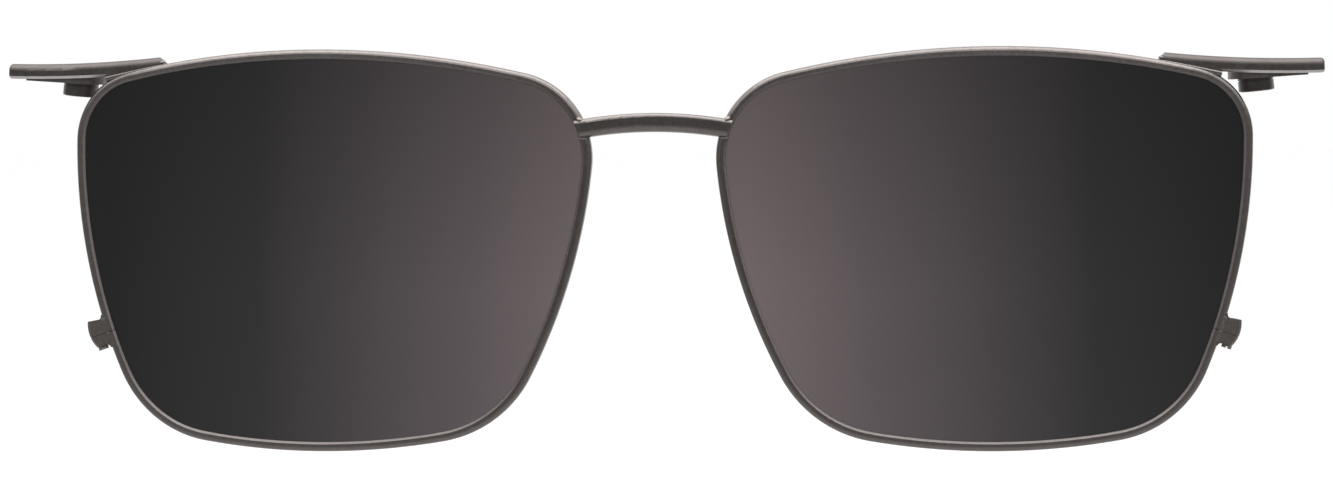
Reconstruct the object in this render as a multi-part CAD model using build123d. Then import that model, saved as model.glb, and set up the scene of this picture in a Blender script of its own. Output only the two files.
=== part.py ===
from build123d import *
import math
import os

# Magnetic clip-on sunglass front, in millimetres.
# X runs to the right as the front is looked at, Y towards the wearer's face, Z up.
# Each half is drawn on the right, at +X, and mirrored to the left.
# While it is drawn, Y is 0 at the lenses' foremost point and Z is 0 half way up the rims.
# At the end everything moves together, so that the origin is the centre of the clip's box.

# Overall layout
rim_width = 56.0            # outside of one rim, across
rim_height = 42.18          # outside of one rim, up
rim_gap = 13.40             # between the rims, if they weren't turned
wrap_angle = 6.5            # each rim turns back at its temple side
base_radius = 132.0         # the front lies on balls of this radius
ball_turn = 90.0            # keeps the balls' poles away from the lenses
overrun = 1.0               # cutting tools reach this far past what they cut

# Rim outline: its four corners before rounding lie this far from the rim's sides, top and bottom
nose_top_out = 0.20
nose_top_drop = 4.62
temple_top_in = 0.34
temple_top_drop = 3.80
temple_bottom_in = 7.87
nose_bottom_in = 9.85
bottom_rise = 2.34
top_bow = 4.16              # how far each side bulges from the straight line
temple_bow = 2.69
bottom_bow = 2.36
nose_bow = 2.95
nose_top_radius = 9.22
temple_top_radius = 7.26
temple_bottom_radius = 12.00
nose_bottom_radius = 13.00

# Eyewire: a band, rounded outside, whose inner edges lean towards the lens
band_width = 1.04
band_depth = 1.30
band_round = 0.52
band_bevel = 0.26

# Lens
lens_thickness = 0.90
lens_bevel = 0.40           # wider than the bite, so the groove is a plain V
lens_bite = 0.34            # how far the lens reaches into the eyewire's groove
groove_clearance = 0.02

# Bridge bar
bridge_height = 2.00
bridge_depth = 1.80
bridge_top_round = 0.45
bridge_bottom_round = 0.84
bridge_drop = 7.80          # at the mirror plane its middle line is this far below the rims' tops
bridge_arch = 1.08          # its ends are this much lower
bridge_ahead = 0.30         # its ends' middle line is this far in front of the rims' middle
bridge_bow = 0.45           # its middle stands this much further forward

# End arm: a bar laid over the rim's top outer corner
arm_height = 1.56
arm_depth = 1.50
arm_round = 0.72
arm_bevel = 0.28
arm_tip_round = 0.42
arm_inside = 9.95           # its start lies this far inside the rim's temple side
arm_drop = 1.54             # this far below the rim's top
arm_behind = 0.45           # and this far behind the rim's middle
arm_slope = 42.0            # its inner end rises outwards at this angle
arm_slope_reach = 0.76      # and meets its top this far out from the start
arm_reach = 17.16           # from its start to its tip, across
arm_middle_fall = 0.65      # its middle is this much lower than its start
arm_middle_back = 1.53      # and this much nearer to the face
arm_end_fall = 0.71
arm_end_back = 2.55

# Magnet pad: a plate under the arm, a teardrop from above and a wedge from the front
pad_radius = 2.90
pad_tip_radius = 0.30
pad_tip_reach = 5.00        # from the magnet to the middle of the tip's round
pad_thickness = 0.63        # on the magnet's axis
pad_lap = 0.08              # behind the arm it stands this far above the arm's underside
pad_under_angle = 3.6       # its underside rises outwards
pad_top_angle = 1.2         # its top falls outwards

# Magnet and its cup
magnet_out = 9.91           # from the arm's start, across
magnet_back = 2.90          # from the arm's middle line to the magnet's axis
magnet_angle = 5.4          # its face rises outwards
magnet_thickness = 1.00
magnet_proud = 0.05         # its face stands this far out of the cup's mouth
magnet_clearance = 0.02
cup_radius = 1.87
cup_height = 1.36           # on its axis, below the pad
cup_wall = 0.26
cup_round = 0.08
cup_groove = 0.10           # a fine groove round the cup, as high as it is deep
cup_groove_drop = 0.26      # from the pad to the groove

# Rim lock: two blocks on the rim's outside, above and below the split in the eyewire
lock_level = -8.75          # the split's height
lock_gap = 0.06
lock_proud = 1.85
lock_depth = 1.80
lock_upper_length = 1.52    # at the rim's outside
lock_lower_length = 1.20
lock_top_slope = 8.0        # the upper block's top rises outwards
lock_crown_radius = 3.4     # the blocks' outer side bulges
lock_crown_level = 0.40     # the most at this height above the split
lock_round = 0.30
lock_seat = 0.30            # the blocks are drawn this far into the rim, then cut to its outside

# Closing screw
screw_offset = 0.98         # from the rim's outside to the screw's axis
screw_radius = 0.42
screw_head_radius = 0.56
screw_head_height = 0.36
screw_slot_width = 0.20
screw_slot_depth = 0.20
screw_end_gap = 0.15        # its end stays this far inside the upper block
thread_clearance = 0.03
shank_clearance = 0.06

rim_centre_x = (rim_gap + rim_width) / 2
lens_inset = band_width - lens_bite
side_bows = [top_bow, temple_bow, bottom_bow, nose_bow]
corner_radii = [nose_top_radius, temple_top_radius, temple_bottom_radius, nose_bottom_radius]
temple_side = side_bows.index(temple_bow)

# In an eye's own frame X runs towards the temple, Y up and Z forward along the lens axis
eye = Pos(rim_centre_x, 0, 0) * Rot(0, 0, wrap_angle) * Plane.XZ.location


def fall_back(across, up):
    """How far the front's curve lies behind its foremost point."""
    return base_radius - math.sqrt(base_radius ** 2 - across ** 2 - up ** 2)


def on_front(across, up, ahead):
    """A point ahead of the middle of the curved front, given across and up from the rim's middle."""
    return (eye * Pos(across, up, ahead - fall_back(across, up))).position


def outline_corners():
    """The outline's corners, from the nose's top one outwards and round."""
    half_width = rim_width / 2
    half_height = rim_height / 2
    return [
        Vector(-half_width - nose_top_out, half_height - nose_top_drop),
        Vector(half_width - temple_top_in, half_height - temple_top_drop),
        Vector(half_width - temple_bottom_in, bottom_rise - half_height),
        Vector(nose_bottom_in - half_width, bottom_rise - half_height),
    ]


def side_circle(index):
    """Centre and radius of the side that starts at a corner of the outline."""
    corners = outline_corners()
    start = corners[index]
    end = corners[(index + 1) % len(corners)]
    chord = end - start
    bow = side_bows[index]
    radius = (chord.length ** 2 / 4 + bow ** 2) / (2 * bow)
    inwards = Vector(chord.Y, -chord.X).normalized()
    return (start + end) / 2 + inwards * (radius - bow), radius


def corner_circle(index):
    """Centre and radius of the round between the two sides that meet at a corner."""
    radius = corner_radii[index]
    first, first_radius = side_circle(index - 1)
    second, second_radius = side_circle(index)
    apart = second - first
    to_first = first_radius - radius
    to_second = second_radius - radius
    along = (to_first ** 2 - to_second ** 2 + apart.length ** 2) / (2 * apart.length)
    aside = math.sqrt(to_first ** 2 - along ** 2)
    foot = first + apart.normalized() * along
    square = Vector(-apart.Y, apart.X).normalized() * aside
    corner = outline_corners()[index]
    return min(foot + square, foot - square, key=lambda centre: (centre - corner).length), radius


def towards(centre, target, distance):
    return centre + (target - centre).normalized() * distance


def rim_outline(inset):
    """The rim's outline along the lens axis, drawn in from its outside by inset."""
    edges = []
    for index in range(len(side_bows)):
        corner, corner_radius = corner_circle(index)
        next_corner, _ = corner_circle((index + 1) % len(side_bows))
        before, before_radius = side_circle(index - 1)
        side, side_radius = side_circle(index)
        start = towards(before, corner, before_radius - inset)
        joint = towards(side, corner, side_radius - inset)
        end = towards(side, next_corner, side_radius - inset)
        corner_crown = towards(corner, (start + joint) / 2, corner_radius - inset)
        side_crown = towards(side, (joint + end) / 2, side_radius - inset)
        edges += [ThreePointArc(start, corner_crown, joint), ThreePointArc(joint, side_crown, end)]
    return make_face(edges)


def prism(inset):
    """The outline drawn out along the lens axis, past both sides of the curved front."""
    reach = fall_back(rim_width / 2, rim_height / 2) + band_depth + overrun
    return extrude(rim_outline(inset), amount=reach, both=True)


def ball(radius):
    return Pos(0, 0, -base_radius) * Rot(ball_turn, 0, 0) * Sphere(radius)


def curved(blank, thickness):
    """What is left of a prism between two balls that are thickness apart."""
    return (blank & ball(base_radius + thickness / 2)) - ball(base_radius - thickness / 2)


def rim_edges(solid):
    """The edges that run round the rim, without the short ones along the lens axis."""
    return solid.edges().filter_by(GeomType.LINE, reverse=True)


def rim_slab():
    """The space inside the rim's outside, band and all."""
    slab = curved(prism(0), band_depth)
    return fillet(rim_edges(slab), band_round)


def lens_blank(clearance):
    slab = curved(prism(lens_inset - clearance), lens_thickness + 2 * clearance)
    return chamfer(rim_edges(slab), lens_bevel)


def lock_frame():
    """The split on the rim's outside, in the eye's frame: X away from the lens, Z up the rim."""
    centre, radius = side_circle(temple_side)
    rise = lock_level - centre.Y
    run = math.sqrt(radius ** 2 - rise ** 2)
    across = centre.X + run
    return Plane(
        origin=(across, lock_level, -fall_back(across, lock_level)),
        x_dir=(run, rise, 0),
        z_dir=(-rise, run, 0),
    ).location


def standing(side):
    """Stands a solid on its own zero height for a side of 1 and hangs it there for -1."""
    return (Align.CENTER, Align.CENTER, Align.MIN if side > 0 else Align.MAX)


def flares():
    """What leans the band's inner edges towards the lens, in front and behind.

    Their bevels are three times as wide as what they take off, so that they run on past
    the band's faces and its inner wall.
    """
    rise = band_depth / 2 - 2 * band_bevel
    outline = prism(band_width - 2 * band_bevel)
    solids = []
    for blank in (outline - ball(base_radius + rise), outline & ball(base_radius - rise)):
        curve = blank.faces().filter_by(GeomType.SPHERE)
        solids.append(chamfer(curve.edges(), 3 * band_bevel))
    return solids


def eyewire(slab):
    ring = slab - prism(band_width)
    for flare in flares():
        ring -= flare
    split = lock_frame() * Box(2 * (band_width + overrun), band_depth + 2 * overrun, lock_gap)
    return eye * (ring - lens_blank(groove_clearance) - split)


def lock_block(side, length, slope, clearance):
    """One block of the lock: side is 1 above the split and -1 below it."""
    block = Box(lock_proud + lock_seat, lock_depth, length + overrun, align=standing(side))
    block = Pos((lock_proud - lock_seat) / 2, 0, side * lock_gap / 2) * block
    crown = Rot(90, 0, 0) * Cylinder(lock_crown_radius, lock_depth + overrun)
    block &= Pos(lock_proud - lock_crown_radius, 0, lock_crown_level) * crown
    end = Plane(Pos(0, 0, side * length) * Rot(0, -slope, 0))
    block = split(block, bisect_by=end, keep=Keep.BOTTOM if side > 0 else Keep.TOP)
    block = fillet(block.edges().filter_by(GeomType.CIRCLE), lock_round)
    hole = Pos(screw_offset, 0, 0) * Cylinder(screw_radius + clearance, 2 * (length + overrun))
    return eye * (lock_frame() * (block - hole) - prism(0))


def screw_frame():
    """The underside of the screw's head against the lower block."""
    return eye * lock_frame() * Pos(screw_offset, 0, -lock_lower_length)


def closing_screw():
    shank_length = lock_lower_length + lock_upper_length - screw_end_gap
    shank = Cylinder(screw_radius, shank_length, align=standing(1))
    head = Cylinder(screw_head_radius, screw_head_height, align=standing(-1))
    slot = Box(screw_slot_width, 2 * (screw_head_radius + overrun), 2 * screw_slot_depth)
    return screw_frame() * (shank + head - Pos(0, 0, -screw_head_height) * slot)


def bar_along(path, section):
    """A bar along a path, with the section's own X upwards."""
    return sweep(Plane(origin=path @ 0, x_dir=(0, 0, 1), z_dir=path % 0) * section, path)


def bridge_bar(slab):
    """A bar whose ends lie over the rims and stop at the lenses."""
    level = rim_height / 2 - bridge_drop
    end_x = rim_gap / 2 + band_width + bridge_height
    end_y = on_front(-rim_width / 2, level - bridge_arch, 0).Y - bridge_ahead
    path = ThreePointArc(
        (-end_x, end_y, level - bridge_arch),
        (0, end_y - bridge_bow, level),
        (end_x, end_y, level - bridge_arch),
    )
    section = Rectangle(bridge_height, bridge_depth)
    section = fillet(section.vertices().group_by(Axis.X)[-1], bridge_top_round)
    section = fillet(section.vertices().group_by(Axis.X)[0], bridge_bottom_round)
    bar = bar_along(path, section)
    for tool in (eye * prism(band_width - band_bevel), eye * slab):
        bar -= tool
        bar -= mirror(tool, Plane.YZ)
    return bar


def arm_path():
    start = on_front(rim_width / 2 - arm_inside, rim_height / 2 - arm_drop, -arm_behind)
    middle = start + Vector(arm_reach / 2, arm_middle_back, -arm_middle_fall)
    return ThreePointArc(start, middle, start + Vector(arm_reach, arm_end_back, -arm_end_fall))


def end_arm():
    section = Rectangle(arm_height, arm_depth)
    section = fillet(section.vertices().group_by(Axis.X)[-1], arm_round)
    section = chamfer(section.vertices().group_by(Axis.X)[0], arm_bevel)
    path = arm_path()
    bar = bar_along(path, section)
    tip = bar.faces().sort_by(Axis.X)[-1]
    corner = Pos(*(path @ 0)) * Pos(arm_slope_reach, 0, arm_height / 2)
    slope = Plane(corner * Rot(0, -arm_slope, 0))
    return split(fillet(tip.edges(), arm_tip_round), bisect_by=slope, keep=Keep.BOTTOM) - eye * prism(0)


def pad_frame():
    """The magnet's axis at the pad's underside: X outwards along the arm, Z up."""
    path = arm_path()
    share = magnet_out / arm_reach
    beside = path @ share
    along = path % share
    sweep_back = math.degrees(math.atan2(along.Y, along.X))
    under = beside.Z - arm_height / 2 + pad_lap - pad_thickness
    return Pos(beside.X, beside.Y + magnet_back, under) * Rot(0, 0, sweep_back)


def magnet_pad(arm):
    front = pad_tip_radius - pad_radius
    tip = Pos(pad_tip_reach, front, 0) * Circle(pad_tip_radius)
    outline = make_face(make_hull((Circle(pad_radius) + tip).edges()))
    plate = extrude(outline, amount=arm_height, both=True)
    plate = split(plate, bisect_by=Plane(Rot(0, -pad_under_angle, 0)), keep=Keep.TOP)
    top = Plane(Pos(0, 0, pad_thickness) * Rot(0, pad_top_angle, 0))
    return pad_frame() * split(plate, bisect_by=top, keep=Keep.BOTTOM) - arm


def cup_mouth():
    """The middle of the cup's mouth, Z up into the cup."""
    return Rot(0, -magnet_angle, 0) * Pos(0, 0, -cup_height)


def magnet_cup():
    shell = Cylinder(cup_radius, 2 * cup_height, align=standing(1))
    shell = fillet(shell.edges().group_by(Axis.Z)[0], cup_round)
    shell -= Cylinder(cup_radius - cup_wall, 2 * (magnet_thickness - magnet_proud))
    level = Pos(0, 0, cup_height - cup_groove_drop)
    shell -= level * (Cylinder(cup_radius + overrun, cup_groove) - Cylinder(cup_radius - cup_groove, cup_groove))
    shell = cup_mouth() * shell
    return pad_frame() * split(shell, bisect_by=Plane(Rot(0, -pad_under_angle, 0)), keep=Keep.BOTTOM)


def magnet_frame():
    """The middle of the magnet's face, Z up into the cup."""
    return pad_frame() * cup_mouth() * Pos(0, 0, -magnet_proud)


def magnet():
    disc = Cylinder(cup_radius - cup_wall - magnet_clearance, magnet_thickness, align=standing(1))
    return magnet_frame() * disc


def build():
    slab = rim_slab()
    arm = end_arm()
    half = {
        "eyewire": eyewire(slab),
        "lens": eye * lens_blank(0),
        "lock_upper": lock_block(1, lock_upper_length, lock_top_slope, thread_clearance),
        "lock_lower": lock_block(-1, lock_lower_length, 0, shank_clearance),
        "closing_screw": closing_screw(),
        "end_arm": arm,
        "magnet_pad": magnet_pad(arm),
        "magnet_cup": magnet_cup(),
        "magnet": magnet(),
    }
    parts = {"bridge_bar": bridge_bar(slab)}
    for name, solid in half.items():
        parts["right_" + name] = solid
        parts["left_" + name] = mirror(solid, Plane.YZ)
    return parts


parts = build()
whole = Compound(children=[Compound(part.solids()) for part in parts.values()]).bounding_box()
to_origin = Pos(*(-whole.center()))
os.makedirs("parts", exist_ok=True)
for name, part in parts.items():
    export_step(to_origin * part, "parts/" + name + ".step")

print("box", whole.size)
print("moved by", to_origin.position)
for name, frame in (("screw", screw_frame()), ("magnet face", magnet_frame())):
    placed = Plane(to_origin * frame)
    print(name, "at", placed.origin, "axis", placed.z_dir)
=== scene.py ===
"""Magnetic clip-on sunglass front: gunmetal rims and bridge, dark lenses, magnets under the end arms."""

import math

import bmesh
import bpy
from mathutils import Matrix, Vector


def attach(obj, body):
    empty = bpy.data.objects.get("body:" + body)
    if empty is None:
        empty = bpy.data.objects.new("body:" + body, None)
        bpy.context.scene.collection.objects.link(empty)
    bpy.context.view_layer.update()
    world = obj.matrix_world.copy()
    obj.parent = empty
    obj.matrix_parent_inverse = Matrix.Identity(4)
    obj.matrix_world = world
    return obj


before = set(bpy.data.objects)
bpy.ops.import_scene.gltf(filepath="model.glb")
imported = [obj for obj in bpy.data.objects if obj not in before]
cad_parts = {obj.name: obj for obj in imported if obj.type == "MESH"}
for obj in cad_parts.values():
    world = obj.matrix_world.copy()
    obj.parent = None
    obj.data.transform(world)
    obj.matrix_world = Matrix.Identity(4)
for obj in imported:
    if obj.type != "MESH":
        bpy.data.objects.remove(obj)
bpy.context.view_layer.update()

MM = 0.001
# Places in this file are in the part's drawing frame. The part's build moves that by this much.
TO_ORIGIN = Vector((0, -5.69941, 0.03006)) * MM

# Camera: on the object's right, a little above it, as the photograph was taken
IMAGE_WIDTH = 1333
SENSOR_WIDTH = 36.0
FOCAL_PIXELS = 8763.3
CAMERA_DISTANCE = 913 * MM
CAMERA_YAW = math.radians(6.5)
CAMERA_HEIGHT = math.radians(2.0)
CAMERA_ROLL = math.radians(0.37)
AIM_LEFT = 11.87            # pixels from the aim to the picture's middle

# Lens tint with painted light on it, lighter towards the nose and darker towards the temple side: distances
# across from the painted light's middle
LENS_LIGHT_MIDDLE = 1.8 * MM
LENS_NOSE_X = 8 * MM
LENS_TEMPLE_X = 60 * MM
LENS_TINT_AND_LIGHT_SHARES = (
    (0.00, (112, 101, 102)),
    (0.23, (92, 84, 86)),
    (0.46, (72, 67, 69)),
    (0.69, (46, 45, 46)),
    (1.00, (28, 28, 28)),
)
LENS_TOP_SHADE_SHARE = 0.60       # of what the tint lets through lower down is let through at the top, a painted shade
LENS_FADE_LOW = -4 * MM
LENS_FADE_HIGH = 21 * MM
LENS_REFRACTION = 1.5
LENS_SPECULAR = 0.25

# Metal finishes: each one's colour and the warmer colour that it wanders to
GUNMETAL = (150, 143, 141)
GUNMETAL_WARM = (145, 138, 134)
BEVEL_HIGHLIGHT_METAL = (166, 158, 156)    # the rims' inner bevels, painted lighter as a painted highlight
LOCK_METAL = (178, 170, 167)
LOCK_METAL_WARM = (170, 162, 157)
# The arms: darker than the rims and bridge
ARM_METAL = (122, 116, 114)
ARM_METAL_WARM = (118, 112, 109)
DARK_PLATING = (122, 115, 116)
DARK_PLATING_WARM = (104, 99, 97)
# The magnet pads: their plating, painted lighter as painted light against the arm's shadow
PAD_PLATING_PAINTED_LIGHT = (150, 142, 141)
PAD_PLATING_PAINTED_LIGHT_WARM = (130, 124, 121)
NICKEL = (200, 197, 190)
NICKEL_WARM = (190, 184, 170)
SCREW_STEEL = (188, 185, 180)
SCREW_STEEL_WARM = (160, 154, 146)
SOLDER = (172, 167, 160)
SOLDER_WARM = (150, 145, 134)
CUT_METAL_PAINTED_REFLECTION = (232, 228, 224)     # the arms' lower bevel is polished, and painted near white as a painted reflection of the floor below
CUT_ROUGHNESS = 0.22
BEVEL_ROUGHNESS = 0.55
# The gloss, grain and pits of the rims, bridge and locks
PLATED_GLOSS = (0.15, 0.27)
PLATED_GRAIN = 2600
PLATED_PITS = 0.30
# What all the metals share
CLOUD_SCALE = 260
CLOUD_EDGES = (0.35, 0.68)      # noise levels between which the tone wanders
TONE_SWING = 0.15               # how much darker the fine specks are
SPECK_EDGES = (0.30, 0.62)
GLOSS_EDGES = (0.25, 0.75)
PIT_DEPTH = 0.010 * MM
# Painted shade: ambient occlusion darkens the metals' colour in crevices, between parts and under overhangs
PAINTED_SHADE_REACH = 0.35 * MM
PAINTED_SHADE_SHARE = 0.55            # of the colour is left deep in a crevice, where the painted shade is darkest
PAINTED_SHADE_EDGES = (0.25, 0.85)

# The middle of each lens, which its rim's inner bevel faces
LENS_MIDDLE_X = 34.6 * MM
BEVEL_FACING = (-0.25, -0.45)

# The arms' lower bevels, by how far down they face: neither too little nor straight down
FACES_DOWN = (-0.50, -0.62)
FACES_UNDER = (-0.92, -0.80)

# Rim lock, for the braze round it: the place and directions of its split on the rim's outside
LOCK_PLACE = Vector((58.741, 5.343, -8.750)) * MM + TO_ORIGIN
LOCK_OUT = Vector((0.941118, 0.107227, -0.320624))
LOCK_UP = Vector((0.318563, 0.036296, 0.947207))
LOCK_SPLIT_HALF = 0.03 * MM
LOCK_TOP = 1.52 * MM
LOCK_BOTTOM = -1.20 * MM
# Outlines in mm: across the lock, and then forward or along it
BRAZE_PROFILE = ((0.03, 0.05), (0.03, 0.85), (-0.55, 0.655), (-0.45, 0.40))
CORNER_PROFILE = ((-0.25, -0.35), (0.40, -0.04), (0.40, 0.03), (0.17, 0.10), (0.07, 0.22),
                  (0.00, 0.42), (-0.25, 0.50))
CORNER_DEPTH = 1.30 * MM
BRAZE_ROUND = 0.03 * MM
SEAM_PROFILE = ((-0.98, -0.55), (-0.05, -0.60), (0.10, -0.82), (1.60, -0.82), (1.74, -0.60),
                (1.74, 0.60), (1.60, 0.82), (0.10, 0.82), (-0.05, 0.60), (-0.98, 0.55))
SEAM_HALF = 0.028 * MM
SEAM_GRIME = (140, 132, 128)
SEAM_GRIME_WARM = (124, 117, 111)

SHARP_ANGLE = math.radians(35)
FLAT_ANGLE = math.radians(8)     # keeps the locks' braze flat between its edges

# Braze along the joint between the rim's outside and the arm: control points and the bead's radius there, in mm
ARM_BRAZE = (
    ((52.11, 4.30, 19.48), 0.10),
    ((53.28, 4.57, 19.26), 0.14),
    ((54.65, 4.90, 18.98), 0.16),
    ((56.02, 5.24, 18.69), 0.18),
    ((57.38, 5.58, 18.34), 0.27),
    ((58.78, 5.95, 18.00), 0.36),
)

# Solder beads: place in the right half, length, height and depth in mm, and lean in degrees
BEADS = {
    "bridge": (
        ((7.68, -0.50, 13.50), (1.10, 0.72, 0.90), 38),
        ((7.38, -0.32, 11.66), (0.95, 0.36, 0.50), -8),
    ),
    "arm": (
        ((52.62, 4.78, 19.74), (0.60, 0.36, 0.70), -8),
    ),
}
LUMP_ACROSS = 0.11 * MM
LUMP_UP = 0.16 * MM
LUMP_HEIGHT = 0.05              # as a share of the bead's radius

# Glue round each magnet, between its edge and the cup's wall
MAGNET_PLACE = Vector((62.272, 9.816, 16.120)) * MM + TO_ORIGIN
MAGNET_OUT_OF_CUP = Vector((0.093207, 0.012994, -0.995562))
GLUE_RADIUS = 1.60 * MM
GLUE_WIDTH = 0.045 * MM
GLUE_SINK = 0.060 * MM
GLUE_AMBER = (150, 128, 96)
BUBBLE_SCALE = 9000.0

# Studio
FLOOR_LEVEL = -60 * MM
FLOOR_SIZE = 6.0
FLOOR_GREY = 0.80
FLOOR_GLOW = 0.35
WORLD_LEVEL = 0.80
# What shiny surfaces see level with the object and in front of it
DIM_LEVEL = 0.17
# Other directions: the axis, where along it the change starts and ends, and the level past it
OTHER_LEVELS = (
    ("aside", 0.20, 0.85, 0.26),
    ("Z", -0.05, -0.95, 0.50),
    ("Z", 0.24, 0.62, 1.15),
    ("Y", 0.25, 0.80, 1.0),
)
LAMP_PLACE = (0, -0.10, 0.90)
LAMP_WIDTH = 1.4
LAMP_DEPTH = 0.9
LAMP_POWER = 5


def node_maker(tree):
    """A short way to add a node, set its values and link its inputs."""

    def make(kind, inputs=None, **settings):
        node = tree.nodes.new(kind)
        for name, value in settings.items():
            setattr(node, name, value)
        for key, value in (inputs or {}).items():
            if isinstance(value, bpy.types.NodeSocket):
                tree.links.new(value, node.inputs[key])
            else:
                node.inputs[key].default_value = value
        return node

    make.link = tree.links.new
    return make


def smooth_step(make, value, start, end):
    """0 up to start and 1 past end, with a soft change between them."""
    return make("ShaderNodeMapRange", {"Value": value, "From Min": start, "From Max": end},
                interpolation_type="SMOOTHSTEP").outputs["Result"]


def grey(level):
    return (level, level, level, 1)


def from_pixels(red, green, blue):
    """A colour as it looks in a picture, 0 to 255, made linear."""

    def linear(value):
        share = value / 255
        return share / 12.92 if share <= 0.04045 else ((share + 0.055) / 1.055) ** 2.4

    return (linear(red), linear(green), linear(blue), 1)


def place_camera():
    data = bpy.data.cameras.new("camera")
    camera = bpy.data.objects.new("camera", data)
    bpy.context.scene.collection.objects.link(camera)
    forward = Vector((
        -math.sin(CAMERA_YAW) * math.cos(CAMERA_HEIGHT),
        math.cos(CAMERA_YAW) * math.cos(CAMERA_HEIGHT),
        -math.sin(CAMERA_HEIGHT),
    ))
    level_right = Vector((math.cos(CAMERA_YAW), math.sin(CAMERA_YAW), 0))
    level_up = level_right.cross(forward)
    right = level_right * math.cos(CAMERA_ROLL) - level_up * math.sin(CAMERA_ROLL)
    up = level_right * math.sin(CAMERA_ROLL) + level_up * math.cos(CAMERA_ROLL)
    turn = Matrix((right, up, -forward)).transposed()
    camera.matrix_world = Matrix.Translation(TO_ORIGIN - forward * CAMERA_DISTANCE) @ turn.to_4x4()
    data.sensor_fit = "HORIZONTAL"
    data.sensor_width = SENSOR_WIDTH
    data.lens = FOCAL_PIXELS / IMAGE_WIDTH * SENSOR_WIDTH
    data.shift_x = AIM_LEFT / IMAGE_WIDTH
    data.clip_start = 0.01
    data.clip_end = 20
    data.dof.use_dof = False
    bpy.context.scene.camera = camera


def light_world():
    """White for what the camera and glass see; for metal, dim in front and brighter all round."""
    world = bpy.data.worlds.new("studio")
    bpy.context.scene.world = world
    world.use_nodes = True
    tree = world.node_tree
    tree.nodes.clear()
    make = node_maker(tree)
    path = make("ShaderNodeLightPath")
    direction = make("ShaderNodeTexCoord").outputs["Generated"]
    split = make("ShaderNodeSeparateXYZ", {"Vector": direction})
    aside = make("ShaderNodeMath", {0: split.outputs["X"]}, operation="ABSOLUTE").outputs[0]
    shiny = grey(DIM_LEVEL)
    for axis, start, end, level in OTHER_LEVELS:
        share = smooth_step(make, aside if axis == "aside" else split.outputs[axis], start, end)
        mix = make("ShaderNodeMix", {"Factor": share, 6: shiny, 7: grey(level)}, data_type="RGBA")
        shiny = mix.outputs[2]
    plain = make("ShaderNodeMix", {"Factor": path.outputs["Is Glossy Ray"], 6: grey(WORLD_LEVEL), 7: shiny},
                 data_type="RGBA")
    seen = make("ShaderNodeMath", {0: path.outputs["Is Camera Ray"], 1: path.outputs["Is Transmission Ray"]},
                operation="MAXIMUM")
    colour = make("ShaderNodeMix", {"Factor": seen.outputs[0], 6: plain.outputs[2], 7: grey(1.0)},
                  data_type="RGBA")
    background = make("ShaderNodeBackground", {"Color": colour.outputs[2], "Strength": 1.0})
    make("ShaderNodeOutputWorld", {"Surface": background.outputs[0]})


def add_top_lamp():
    """A wide, soft lamp above the object, turned to it."""
    data = bpy.data.lights.new("top_lamp", "AREA")
    data.shape = "RECTANGLE"
    data.size = LAMP_WIDTH
    data.size_y = LAMP_DEPTH
    data.energy = LAMP_POWER
    lamp = bpy.data.objects.new("top_lamp", data)
    bpy.context.scene.collection.objects.link(lamp)
    turn = Vector(LAMP_PLACE).to_track_quat("Z", "Y").to_matrix().to_4x4()
    lamp.matrix_world = Matrix.Translation(LAMP_PLACE) @ turn


def add_floor():
    bpy.ops.mesh.primitive_plane_add(size=FLOOR_SIZE, location=(0, 0, FLOOR_LEVEL))
    floor = bpy.context.object
    floor.name = "floor"
    material = bpy.data.materials.new("floor_white")
    material.use_nodes = True
    tree = material.node_tree
    tree.nodes.clear()
    make = node_maker(tree)
    path = make("ShaderNodeLightPath")
    white = make("ShaderNodeBsdfDiffuse", {"Color": grey(FLOOR_GREY)})
    glow = make("ShaderNodeEmission", {"Color": grey(1.0), "Strength": FLOOR_GLOW})
    seen = make("ShaderNodeMixShader", {0: path.outputs["Is Camera Ray"], 2: glow.outputs[0]})
    both = make("ShaderNodeAddShader", {0: white.outputs[0], 1: seen.outputs[0]})
    # Clear from below, so that the object's underside can be seen through it
    clear = make("ShaderNodeBsdfTransparent")
    sided = make("ShaderNodeMixShader", {0: make("ShaderNodeNewGeometry").outputs["Backfacing"],
                                         1: both.outputs[0], 2: clear.outputs[0]})
    make("ShaderNodeOutputMaterial", {"Surface": sided.outputs[0]})
    floor.data.materials.append(material)
    floor.visible_glossy = False
    floor.visible_transmission = False


def principled(name, **values):
    material = bpy.data.materials.new(name)
    material.use_nodes = True
    tree = material.node_tree
    tree.nodes.clear()
    make = node_maker(tree)
    shader = make("ShaderNodeBsdfPrincipled", {key.replace("_", " "): value for key, value in values.items()})
    make("ShaderNodeOutputMaterial", {"Surface": shader.outputs[0]})
    return material, make, shader


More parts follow.
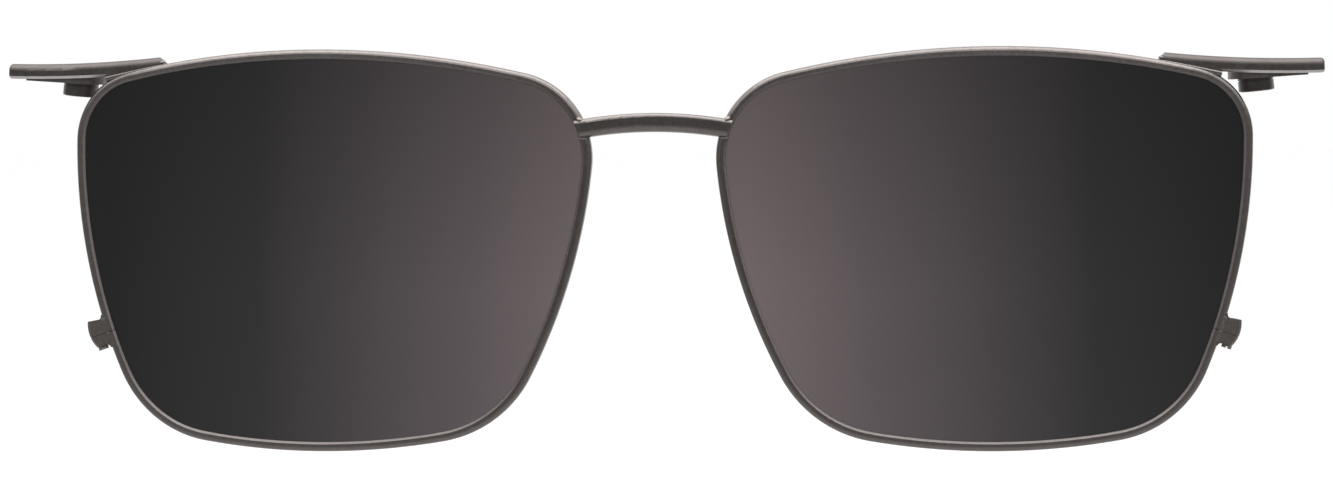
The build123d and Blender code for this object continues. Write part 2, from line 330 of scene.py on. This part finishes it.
def lens_tint():
    """A dark lens tint with painted light on it: lighter and pinker towards the nose, darker towards the temple
    side and the top, with a weak reflection.
    """
    material, make, shader = principled("lens_tint", Roughness=0.0, Transmission_Weight=1.0,
                                        IOR=LENS_REFRACTION, Specular_IOR_Level=LENS_SPECULAR)
    place = make("ShaderNodeSeparateXYZ", {"Vector": make("ShaderNodeTexCoord").outputs["Object"]})
    # Painted light: the tint is lighter towards the nose
    beside = make("ShaderNodeMath", {0: place.outputs["X"], 1: LENS_LIGHT_MIDDLE}, operation="SUBTRACT")
    across = make("ShaderNodeMath", {0: beside.outputs[0]}, operation="ABSOLUTE")
    share = make("ShaderNodeMapRange", {"Value": across.outputs[0], "From Min": LENS_NOSE_X,
                                        "From Max": LENS_TEMPLE_X})
    ramp = make("ShaderNodeValToRGB", {"Fac": share.outputs["Result"]})
    stops = ramp.color_ramp.elements
    while len(stops) < len(LENS_TINT_AND_LIGHT_SHARES):
        stops.new(0.5)
    for stop, (position, colour) in zip(stops, LENS_TINT_AND_LIGHT_SHARES):
        stop.position = position
        stop.color = from_pixels(*colour)
    # Painted shade: the tint is darker towards the top
    fade = make("ShaderNodeMapRange", {"Value": place.outputs["Z"], "From Min": LENS_FADE_LOW,
                                       "From Max": LENS_FADE_HIGH, "To Min": 1.0, "To Max": LENS_TOP_SHADE_SHARE})
    colour = make("ShaderNodeVectorMath", {0: ramp.outputs["Color"], "Scale": fade.outputs["Result"]},
                  operation="SCALE")
    make.link(colour.outputs[0], shader.inputs["Base Color"])
    return material


def faces_lens_middle(make, coordinates):
    """1 on the rims' inner bevels, which face the middle of their lens, and 0 elsewhere."""
    place = make("ShaderNodeSeparateXYZ", {"Vector": coordinates.outputs["Object"]})
    across = make("ShaderNodeMath", {0: place.outputs["X"]}, operation="ABSOLUTE")
    beside = make("ShaderNodeMath", {0: across.outputs[0], 1: LENS_MIDDLE_X}, operation="SUBTRACT")
    way = make("ShaderNodeMath", {0: place.outputs["X"]}, operation="SIGN")
    outwards = make("ShaderNodeMath", {0: beside.outputs[0], 1: way.outputs[0]}, operation="MULTIPLY")
    spoke = make("ShaderNodeCombineXYZ", {"X": outwards.outputs[0], "Z": place.outputs["Z"]})
    straight = make("ShaderNodeVectorMath", {0: spoke.outputs[0]}, operation="NORMALIZE")
    along = make("ShaderNodeVectorMath", {0: straight.outputs[0], 1: coordinates.outputs["Normal"]},
                 operation="DOT_PRODUCT")
    return smooth_step(make, along.outputs["Value"], *BEVEL_FACING)


def faces_down_ahead(make, coordinates):
    """1 on the arms' lower front bevel and 0 elsewhere."""
    normal = make("ShaderNodeSeparateXYZ", {"Vector": coordinates.outputs["Normal"]})
    down = smooth_step(make, normal.outputs["Z"], *FACES_DOWN)
    under = smooth_step(make, normal.outputs["Z"], *FACES_UNDER)
    return make("ShaderNodeMath", {0: down, 1: under}, operation="MULTIPLY").outputs[0]


def plating(name, colour, warm_colour, gloss=PLATED_GLOSS, grain=PLATED_GRAIN, pits=PLATED_PITS,
            marked=None, marked_colour=None, marked_roughness=None):
    """Plated metal: its tone wanders, its gloss varies finely, it is finely pitted, and painted shade darkens it
    in crevices.

    gloss is its lowest and highest roughness, grain the noise scale of its pits, and pits their strength.
    Where marked gives 1, the metal has the marked colour and roughness instead.
    """
    material, make, shader = principled(name, Metallic=1.0)
    coordinates = make("ShaderNodeTexCoord")
    place = coordinates.outputs["Object"]
    clouds = make("ShaderNodeTexNoise", {"Vector": place, "Scale": CLOUD_SCALE, "Detail": 3.0, "Roughness": 0.6})
    fine = make("ShaderNodeTexNoise", {"Vector": place, "Scale": grain, "Detail": 4.0, "Roughness": 0.55})
    share = smooth_step(make, clouds.outputs["Fac"], *CLOUD_EDGES)
    base = make("ShaderNodeMix", {"Factor": share, 6: from_pixels(*colour), 7: from_pixels(*warm_colour)},
                data_type="RGBA").outputs[2]
    rough = make("ShaderNodeMapRange", {
        "Value": fine.outputs["Fac"], "From Min": GLOSS_EDGES[0], "From Max": GLOSS_EDGES[1],
        "To Min": gloss[0], "To Max": gloss[1]}).outputs["Result"]
    if marked is not None:
        mask = marked(make, coordinates)
        base = make("ShaderNodeMix", {"Factor": mask, 6: base, 7: from_pixels(*marked_colour)},
                    data_type="RGBA").outputs[2]
        rough = make("ShaderNodeMix", {"Factor": mask, 2: rough, 3: marked_roughness}).outputs[0]
    speckle = make("ShaderNodeMapRange", {
        "Value": fine.outputs["Fac"], "From Min": SPECK_EDGES[0], "From Max": SPECK_EDGES[1],
        "To Min": 1 - TONE_SWING, "To Max": 1.0})
    # Painted shade: the colour is darkened where ambient occlusion finds crevices
    shade = make("ShaderNodeAmbientOcclusion", {"Distance": PAINTED_SHADE_REACH}, samples=8)
    painted_shade = make("ShaderNodeMapRange", {
        "Value": shade.outputs["AO"], "From Min": PAINTED_SHADE_EDGES[0], "From Max": PAINTED_SHADE_EDGES[1],
        "To Min": PAINTED_SHADE_SHARE, "To Max": 1.0})
    level = make("ShaderNodeMath", {0: speckle.outputs["Result"], 1: painted_shade.outputs["Result"]},
                 operation="MULTIPLY")
    shaded = make("ShaderNodeVectorMath", {0: base, "Scale": level.outputs[0]}, operation="SCALE")
    bumps = make("ShaderNodeBump", {"Height": fine.outputs["Fac"], "Strength": pits, "Distance": PIT_DEPTH})
    make.link(shaded.outputs[0], shader.inputs["Base Color"])
    make.link(rough, shader.inputs["Roughness"])
    make.link(bumps.outputs[0], shader.inputs["Normal"])
    return material


def clear_glue():
    """Hardened glue, amber and slightly milky, with small bubbles."""
    material, make, shader = principled("clear_glue", Specular_IOR_Level=0.5)
    place = make("ShaderNodeTexCoord").outputs["Object"]
    bubbles = make("ShaderNodeTexVoronoi", {"Vector": place, "Scale": BUBBLE_SCALE})
    tone = make("ShaderNodeMapRange", {"Value": bubbles.outputs["Distance"], "From Max": 0.6,
                                       "To Min": 0.7, "To Max": 1.0})
    colour = make("ShaderNodeVectorMath", {0: from_pixels(*GLUE_AMBER)[:3], "Scale": tone.outputs["Result"]},
                  operation="SCALE")
    rough = make("ShaderNodeMapRange", {"Value": bubbles.outputs["Distance"], "From Max": 0.6,
                                        "To Min": 0.25, "To Max": 0.45})
    make.link(colour.outputs[0], shader.inputs["Base Color"])
    make.link(rough.outputs["Result"], shader.inputs["Roughness"])
    return material


def cover(node, material):
    """Gives a CAD node its one material."""
    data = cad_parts[node].data
    data.materials.clear()
    data.materials.append(material)


def add_piece(name, mesh, material, sharp_angle=SHARP_ANGLE, body="front"):
    """Makes a finished bmesh a piece that rides on a body, with edges sharp past an angle."""
    bmesh.ops.recalc_face_normals(mesh, faces=mesh.faces)
    for face in mesh.faces:
        face.smooth = True
    for edge in mesh.edges:
        edge.smooth = edge.calc_face_angle(0) < sharp_angle
    data = bpy.data.meshes.new(name)
    mesh.to_mesh(data)
    mesh.free()
    data.materials.append(material)
    piece = bpy.data.objects.new(name, data)
    bpy.context.scene.collection.objects.link(piece)
    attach(piece, body)


def flip_to_left(mesh):
    """Turns a piece made for the right side into the left one."""
    bmesh.ops.scale(mesh, vec=(-1, 1, 1), verts=mesh.verts)


def draw_out(mesh, points, turn, start, end):
    """Draws a small outline, given in mm as two of the turn's axes, out along the third."""
    corners = [mesh.verts.new(turn @ Vector((across * MM, up * MM, start))) for across, up in points]
    face = mesh.faces.new(corners)
    grown = bmesh.ops.extrude_face_region(mesh, geom=[face], use_keep_orig=True)
    moved = [item for item in grown["geom"] if isinstance(item, bmesh.types.BMVert)]
    along = turn.to_3x3() @ Vector((0, 0, end - start))
    bmesh.ops.translate(mesh, vec=along, verts=moved)


def soften(mesh):
    """Rounds every edge a little."""
    bmesh.ops.bevel(mesh, geom=mesh.edges[:], offset=BRAZE_ROUND, segments=2, profile=0.5, affect="EDGES",
                    material=-1, clamp_overlap=True)


def lock_braze(side_name):
    """Braze that runs between the rim and its lock blocks, in front, behind, above and below."""
    mesh = bmesh.new()
    back = LOCK_UP.cross(LOCK_OUT)
    for way in (back, -back):
        turn = Matrix((LOCK_OUT, way, LOCK_UP)).transposed().to_4x4()
        turn.translation = LOCK_PLACE
        draw_out(mesh, BRAZE_PROFILE, turn, LOCK_SPLIT_HALF, LOCK_TOP)
        draw_out(mesh, BRAZE_PROFILE, turn, LOCK_BOTTOM, -LOCK_SPLIT_HALF)
    for way, level in ((LOCK_UP, LOCK_TOP), (-LOCK_UP, -LOCK_BOTTOM)):
        turn = Matrix((LOCK_OUT, way, back)).transposed().to_4x4()
        turn.translation = LOCK_PLACE + way * level
        draw_out(mesh, CORNER_PROFILE, turn, -CORNER_DEPTH / 2, CORNER_DEPTH / 2)
    soften(mesh)
    if side_name == "left":
        flip_to_left(mesh)
    return mesh


def lock_seam(side_name):
    """The film of grime in the closed split, a hairline across the rim and between the blocks."""
    mesh = bmesh.new()
    turn = Matrix((LOCK_OUT, LOCK_UP.cross(LOCK_OUT), LOCK_UP)).transposed().to_4x4()
    turn.translation = LOCK_PLACE
    draw_out(mesh, SEAM_PROFILE, turn, -SEAM_HALF, SEAM_HALF)
    if side_name == "left":
        flip_to_left(mesh)
    return mesh


def arm_braze(side_name):
    """The bead of braze that fills the corner between the rim's outside and an arm."""
    route = bpy.data.curves.new("braze_route", "CURVE")
    route.dimensions = "3D"
    route.bevel_depth = 1.0 * MM       # so that the points' radii are in mm
    route.bevel_resolution = 4
    route.resolution_u = 8
    route.use_fill_caps = True
    spline = route.splines.new("NURBS")
    spline.points.add(len(ARM_BRAZE) - 1)
    for point, (place, radius) in zip(spline.points, ARM_BRAZE):
        point.co = (*(Vector(place) * MM + TO_ORIGIN), 1)
        point.radius = radius
    spline.order_u = 3
    spline.use_endpoint_u = True
    carrier = bpy.data.objects.new("braze_route", route)
    solid = bpy.data.meshes.new_from_object(carrier)
    mesh = bmesh.new()
    mesh.from_mesh(solid)
    bmesh.ops.remove_doubles(mesh, verts=mesh.verts, dist=0.0005 * MM)
    bpy.data.objects.remove(carrier)
    bpy.data.meshes.remove(solid)
    bpy.data.curves.remove(route)
    if side_name == "left":
        flip_to_left(mesh)
    return mesh


def solder_beads(places, side_name):
    """Small flattened beads, lumpy where the solder set. Each starts as a ball 1 mm across."""
    mesh = bmesh.new()
    for middle, (length, height, depth), lean in places:
        made = bmesh.ops.create_icosphere(mesh, subdivisions=4, radius=0.5 * MM)
        for vert in made["verts"]:
            wave = math.sin(vert.co.x / LUMP_ACROSS) * math.cos(vert.co.z / LUMP_UP)
            vert.co *= 1 + LUMP_HEIGHT * wave
        bmesh.ops.scale(mesh, vec=(length, depth, height), verts=made["verts"])
        bmesh.ops.rotate(mesh, cent=(0, 0, 0), matrix=Matrix.Rotation(-math.radians(lean), 3, "Y"),
                         verts=made["verts"])
        bmesh.ops.translate(mesh, vec=Vector(middle) * MM + TO_ORIGIN, verts=made["verts"])
    if side_name == "left":
        flip_to_left(mesh)
    return mesh


def glue_ring(side_name):
    """A thin ring of glue that stands a little out of the gap round the magnet."""
    mesh = bmesh.new()
    made = bmesh.ops.create_circle(mesh, segments=10, radius=GLUE_WIDTH)
    upright = Matrix.Rotation(math.radians(90), 3, "X")
    bmesh.ops.rotate(mesh, cent=(0, 0, 0), matrix=upright, verts=made["verts"])
    bmesh.ops.translate(mesh, vec=(GLUE_RADIUS, 0, 0), verts=made["verts"])
    bmesh.ops.spin(mesh, geom=mesh.edges[:] + mesh.verts[:], cent=(0, 0, 0), axis=(0, 0, 1), angle=math.tau,
                   steps=72, use_merge=True)
    bmesh.ops.remove_doubles(mesh, verts=mesh.verts, dist=0.001 * MM)
    turn = MAGNET_OUT_OF_CUP.to_track_quat("Z", "Y").to_matrix().to_4x4()
    turn.translation = MAGNET_PLACE - MAGNET_OUT_OF_CUP * GLUE_SINK
    bmesh.ops.transform(mesh, matrix=turn, verts=mesh.verts)
    if side_name == "left":
        flip_to_left(mesh)
    return mesh


place_camera()
light_world()
add_floor()
add_top_lamp()

gunmetal = plating("gunmetal", GUNMETAL, GUNMETAL_WARM)
# The rims' inner bevels are painted lighter, a painted highlight
rim_metal = plating("rim_gunmetal", GUNMETAL, GUNMETAL_WARM, marked=faces_lens_middle,
                    marked_colour=BEVEL_HIGHLIGHT_METAL, marked_roughness=BEVEL_ROUGHNESS)
lock_metal = plating("lock_gunmetal", LOCK_METAL, LOCK_METAL_WARM)
# The arms' lower bevels are painted near white, a painted reflection; their low roughness is their polish
arm_metal = plating("arm_gunmetal", ARM_METAL, ARM_METAL_WARM, gloss=(0.36, 0.48), grain=2200, pits=0.35,
                    marked=faces_down_ahead, marked_colour=CUT_METAL_PAINTED_REFLECTION, marked_roughness=CUT_ROUGHNESS)
dark_plating = plating("dark_plating", DARK_PLATING, DARK_PLATING_WARM, gloss=(0.30, 0.46), grain=1800,
                       pits=0.50)
# The pads' plating is painted lighter, painted light where the arm shades them
pad_plating_painted_light = plating("pad_plating_painted_light", PAD_PLATING_PAINTED_LIGHT, PAD_PLATING_PAINTED_LIGHT_WARM, gloss=(0.32, 0.48), grain=1800, pits=0.50)
nickel = plating("magnet_nickel", NICKEL, NICKEL_WARM, gloss=(0.14, 0.24), grain=3200, pits=0.20)
screw_steel = plating("screw_steel", SCREW_STEEL, SCREW_STEEL_WARM, gloss=(0.18, 0.32), grain=4200, pits=0.30)
grime = plating("grime", SEAM_GRIME, SEAM_GRIME_WARM, gloss=(0.40, 0.60), grain=3000, pits=0.60)
solder = plating("solder", SOLDER, SOLDER_WARM, gloss=(0.24, 0.42), grain=3000, pits=0.60)
tint_and_painted_light = lens_tint()
glue = clear_glue()
FINISHES = {
    "lens": tint_and_painted_light,
    "eyewire": rim_metal,
    "end_arm": arm_metal,
    "magnet_pad": pad_plating_painted_light,
    "magnet_cup": dark_plating,
    "magnet": nickel,
    "closing_screw": screw_steel,
    "lock_upper": lock_metal,
    "lock_lower": lock_metal,
}
cover("bridge_bar", gunmetal)
for side in ("right", "left"):
    for node, finish in FINISHES.items():
        cover(side + "_" + node, finish)
    add_piece(side + "_lock_braze", lock_braze(side), lock_metal, FLAT_ANGLE)
    add_piece(side + "_arm_braze", arm_braze(side), gunmetal)
    add_piece(side + "_lock_seam", lock_seam(side), grime)
    for joint, places in BEADS.items():
        add_piece(side + "_" + joint + "_solder", solder_beads(places, side), solder)
    add_piece(side + "_magnet_glue", glue_ring(side), glue)

bpy.context.scene.view_settings.view_transform = "Standard"
